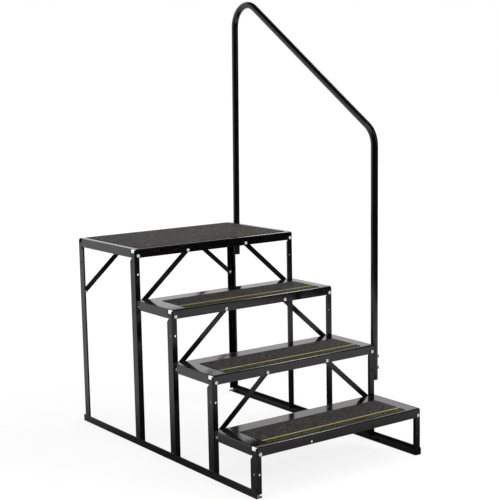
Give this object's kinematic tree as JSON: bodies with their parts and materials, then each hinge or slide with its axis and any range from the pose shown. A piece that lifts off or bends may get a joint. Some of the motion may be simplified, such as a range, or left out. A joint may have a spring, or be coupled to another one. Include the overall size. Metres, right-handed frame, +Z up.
{
  "type": "caravan entry step",
  "caption": "Bolted steel entry step with a raised landing, lower treads with grip mats, angle iron legs on base rails, flat bar braces and a bent tube hand rail on one side.",
  "frame": {"origin": "on the ground, under the middle of the whole footprint, hand rail included", "axes": "+Z up, +X towards the side with the hand rail, -Y the front, where a person steps on"},
  "size_m": [0.7192, 1.1027, 1.5585],
  "materials": {
    "black_powder_coat": "gloss black powder coat on steel",
    "grip_mat": "gritty anti-slip sheet",
    "yellow_stripe": "matt yellow tape",
    "zinc_plated_steel": "bright zinc plating",
    "black_plastic": "moulded, matt"
  },
  "bodies": {
    "root": {"base_rail_left": "black_powder_coat", "base_rail_right": "black_powder_coat", "brace_bolts": "zinc_plated_steel", "brace_nuts": "zinc_plated_steel", "corner_bolts": "zinc_plated_steel", "corner_nuts": "zinc_plated_steel", "hand_rail": "black_powder_coat", "hand_rail_bolts": "zinc_plated_steel", "hand_rail_nuts": "zinc_plated_steel", "hand_rail_plugs": "black_plastic", "landing_front_brace_left": "black_powder_coat", "landing_front_brace_right": "black_powder_coat", "landing_front_leg_left": "black_powder_coat", "landing_front_leg_right": "black_powder_coat", "landing_grip_mat": "grip_mat", "landing_pan": "black_powder_coat", "landing_rear_brace_left": "black_powder_coat", "landing_rear_brace_right": "black_powder_coat", "landing_rear_leg_left": "black_powder_coat", "landing_rear_leg_right": "black_powder_coat", "tread_1_grip_mat": "grip_mat", "tread_1_leg_left": "black_powder_coat", "tread_1_leg_right": "black_powder_coat", "tread_1_pan": "black_powder_coat", "tread_1_stripe": "yellow_stripe", "tread_2_brace_left": "black_powder_coat", "tread_2_brace_right": "black_powder_coat", "tread_2_grip_mat": "grip_mat", "tread_2_leg_left": "black_powder_coat", "tread_2_leg_right": "black_powder_coat", "tread_2_pan": "black_powder_coat", "tread_2_stripe": "yellow_stripe", "tread_3_brace_left": "black_powder_coat", "tread_3_brace_right": "black_powder_coat", "tread_3_grip_mat": "grip_mat", "tread_3_leg_left": "black_powder_coat", "tread_3_leg_right": "black_powder_coat", "tread_3_pan": "black_powder_coat", "tread_3_stripe": "yellow_stripe", "tread_rear_bolts": "zinc_plated_steel", "tread_rear_nuts": "zinc_plated_steel"}
  },
  "joints": []
}
